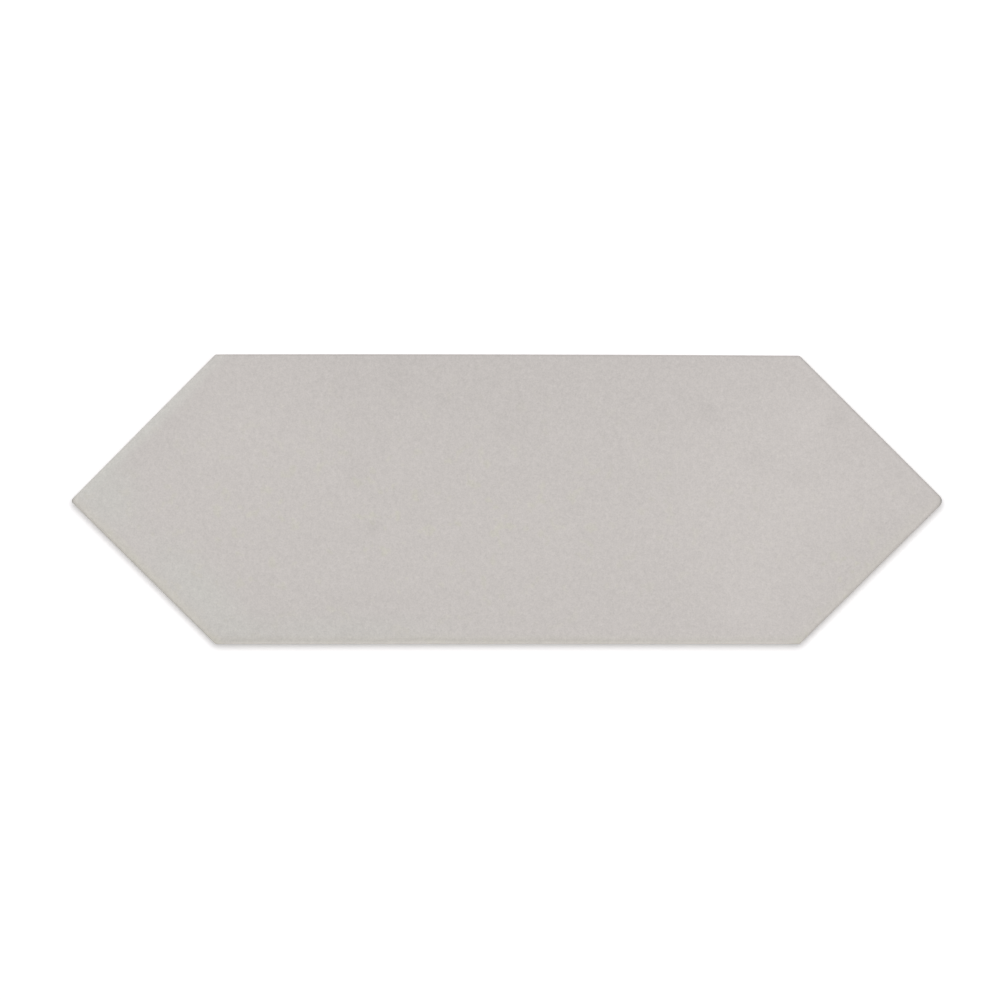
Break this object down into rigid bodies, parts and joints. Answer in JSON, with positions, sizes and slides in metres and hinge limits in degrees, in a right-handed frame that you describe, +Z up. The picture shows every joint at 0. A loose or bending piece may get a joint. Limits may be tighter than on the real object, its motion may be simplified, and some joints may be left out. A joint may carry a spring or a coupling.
{
  "type": "picket tile",
  "caption": "Long hexagonal wall or floor tile with right-angled points, a matt cement-look face, a softly rounded arris and a ribbed back for adhesive.",
  "frame": {"origin": "middle of the tile's footprint, on the plane of its back", "axes": "+X along the tile towards its blunter point, +Y across it, +Z up out of the face"},
  "size_m": [0.3, 0.1, 0.0085],
  "materials": {
    "matt_porcelain": "matte"
  },
  "bodies": {
    "root": {"picket_tile": "matt_porcelain"}
  },
  "joints": []
}
